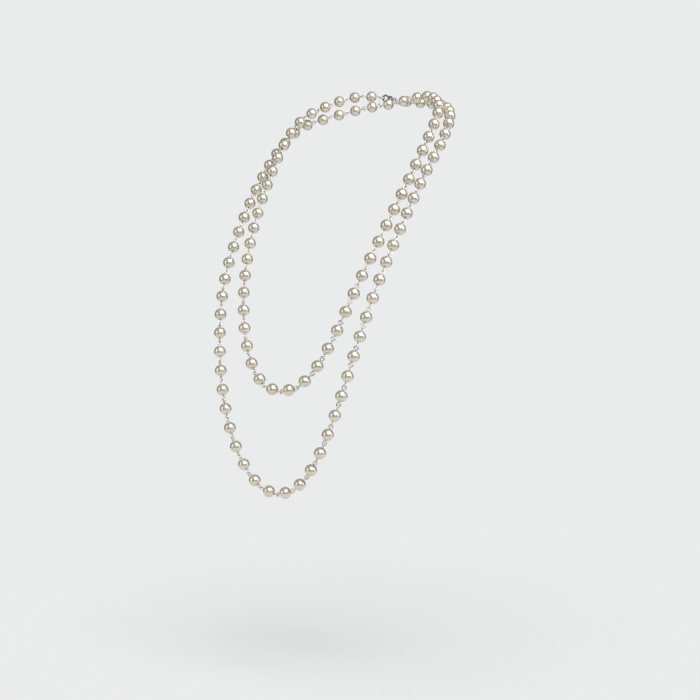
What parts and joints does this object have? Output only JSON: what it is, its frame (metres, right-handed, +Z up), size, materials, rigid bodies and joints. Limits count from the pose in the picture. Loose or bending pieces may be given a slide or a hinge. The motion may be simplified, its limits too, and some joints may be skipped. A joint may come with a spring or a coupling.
{
  "type": "pearl necklace",
  "caption": "Long rope of round cream pearls on linked silver wire pins, closed by a lobster clasp and worn round the neck in two turns.",
  "frame": {"origin": "the nape: where the rope rests on the back of the neck, midway across", "axes": "+Z up, the wearer faces -Y, +X to the wearer's left"},
  "size_m": [0.1412, 0.1855, 0.2842],
  "materials": {
    "pearl": "nacre, soft gloss with faint rose and green overtones",
    "silver_wire": "polished silver plate on brass wire",
    "clasp_metal": "polished silver plate, soft edges",
    "spring_steel": "bare spring steel"
  },
  "bodies": {
    "neck_rope": {"pearls_right_outer": "pearl", "pearls_left_outer": "pearl", "pearls_right_inner": "pearl", "pearls_left_inner": "pearl", "pearls_nape_over": "pearl", "pearls_nape_under": "pearl", "pins_right_outer": "silver_wire", "pins_left_outer": "silver_wire", "pins_right_inner": "silver_wire", "pins_left_inner": "silver_wire", "pins_nape_over": "silver_wire", "pins_nape_under": "silver_wire", "clasp_jump_ring": "silver_wire", "catch_ring": "silver_wire"},
    "outer_1": {"pearls_outer_1": "pearl", "pins_outer_1": "silver_wire"},
    "outer_2": {"pearls_outer_2": "pearl", "pins_outer_2": "silver_wire"},
    "outer_3": {"pearls_outer_3": "pearl", "pins_outer_3": "silver_wire"},
    "outer_4": {"pearls_outer_4": "pearl", "pins_outer_4": "silver_wire"},
    "outer_5": {"pearls_outer_5": "pearl", "pins_outer_5": "silver_wire"},
    "outer_6": {"pearls_outer_6": "pearl", "pins_outer_6": "silver_wire"},
    "outer_7": {"pearls_outer_7": "pearl", "pins_outer_7": "silver_wire"},
    "outer_8": {"pearls_outer_8": "pearl", "pins_outer_8": "silver_wire"},
    "outer_9": {"pearls_outer_9": "pearl", "pins_outer_9": "silver_wire"},
    "inner_1": {"pearls_inner_1": "pearl", "pins_inner_1": "silver_wire"},
    "inner_2": {"pearls_inner_2": "pearl", "pins_inner_2": "silver_wire"},
    "inner_3": {"pearls_inner_3": "pearl", "pins_inner_3": "silver_wire"},
    "inner_4": {"pearls_inner_4": "pearl", "pins_inner_4": "silver_wire"},
    "inner_5": {"pearls_inner_5": "pearl", "pins_inner_5": "silver_wire"},
    "inner_6": {"pearls_inner_6": "pearl", "pins_inner_6": "silver_wire"},
    "clasp": {"clasp_shell": "clasp_metal", "clasp_rivet": "clasp_metal", "clasp_spring": "spring_steel"},
    "clasp_lever": {"clasp_lever": "clasp_metal"}
  },
  "joints": [
    {"name": "outer_swing_1", "type": "hinge", "parent": "neck_rope", "child": "outer_1", "pos_m": [0, -0.09287, -0.076], "axis": [1, 0, 0], "range_deg": [-15, 0]},
    {"name": "outer_swing_2", "type": "hinge", "parent": "outer_1", "child": "outer_2", "pos_m": [0, -0.10941, -0.09653], "axis": [1, 0, 0], "range_deg": [-15, 0]},
    {"name": "outer_swing_3", "type": "hinge", "parent": "outer_2", "child": "outer_3", "pos_m": [0, -0.12482, -0.11788], "axis": [1, 0, 0], "range_deg": [-15, 0]},
    {"name": "outer_swing_4", "type": "hinge", "parent": "outer_3", "child": "outer_4", "pos_m": [0, -0.13821, -0.14045], "axis": [1, 0, 0], "range_deg": [-15, 0]},
    {"name": "outer_swing_5", "type": "hinge", "parent": "outer_4", "child": "outer_5", "pos_m": [0, -0.14786, -0.16467], "axis": [1, 0, 0], "range_deg": [-15, 0]},
    {"name": "outer_swing_6", "type": "hinge", "parent": "outer_5", "child": "outer_6", "pos_m": [0, -0.15502, -0.18957], "axis": [1, 0, 0], "range_deg": [-15, 0]},
    {"name": "outer_swing_7", "type": "hinge", "parent": "outer_6", "child": "outer_7", "pos_m": [0, -0.1598, -0.21477], "axis": [1, 0, 0], "range_deg": [-15, 0]},
    {"name": "outer_swing_8", "type": "hinge", "parent": "outer_7", "child": "outer_8", "pos_m": [0, -0.16253, -0.23948], "axis": [1, 0, 0], "range_deg": [-15, 0]},
    {"name": "outer_swing_9", "type": "hinge", "parent": "outer_8", "child": "outer_9", "pos_m": [0, -0.16311, -0.26227], "axis": [1, 0, 0], "range_deg": [-15, 0]},
    {"name": "inner_swing_1", "type": "hinge", "parent": "neck_rope", "child": "inner_1", "pos_m": [0, -0.09971, -0.08329], "axis": [1, 0, 0], "range_deg": [-15, 0]},
    {"name": "inner_swing_2", "type": "hinge", "parent": "inner_1", "child": "inner_2", "pos_m": [0, -0.11502, -0.10453], "axis": [1, 0, 0], "range_deg": [-15, 0]},
    {"name": "inner_swing_3", "type": "hinge", "parent": "inner_2", "child": "inner_3", "pos_m": [0, -0.12881, -0.1266], "axis": [1, 0, 0], "range_deg": [-15, 0]},
    {"name": "inner_swing_4", "type": "hinge", "parent": "inner_3", "child": "inner_4", "pos_m": [0, -0.14034, -0.14961], "axis": [1, 0, 0], "range_deg": [-15, 0]},
    {"name": "inner_swing_5", "type": "hinge", "parent": "inner_4", "child": "inner_5", "pos_m": [0, -0.1491, -0.17338], "axis": [1, 0, 0], "range_deg": [-15, 0]},
    {"name": "inner_swing_6", "type": "hinge", "parent": "inner_5", "child": "inner_6", "pos_m": [0, -0.15569, -0.19598], "axis": [1, 0, 0], "range_deg": [-15, 0]},
    {"name": "clasp_roll", "type": "hinge", "parent": "neck_rope", "child": "clasp", "pos_m": [-0.01162, 0.01247, 0.00129], "axis": [-0.9361, -0.293, 0.1948], "range_deg": [-15, 15]},
    {"name": "clasp_lever_open", "type": "hinge", "parent": "clasp", "child": "clasp_lever", "pos_m": [-0.01065, 0.01276, 0.00139], "axis": [0.2946, -0.9554, -0.0212], "range_deg": [0, 20], "stiffness_Nm_per_rad": 0.002, "springref_deg": -20.05, "deforming": ["clasp_spring"]}
  ]
}
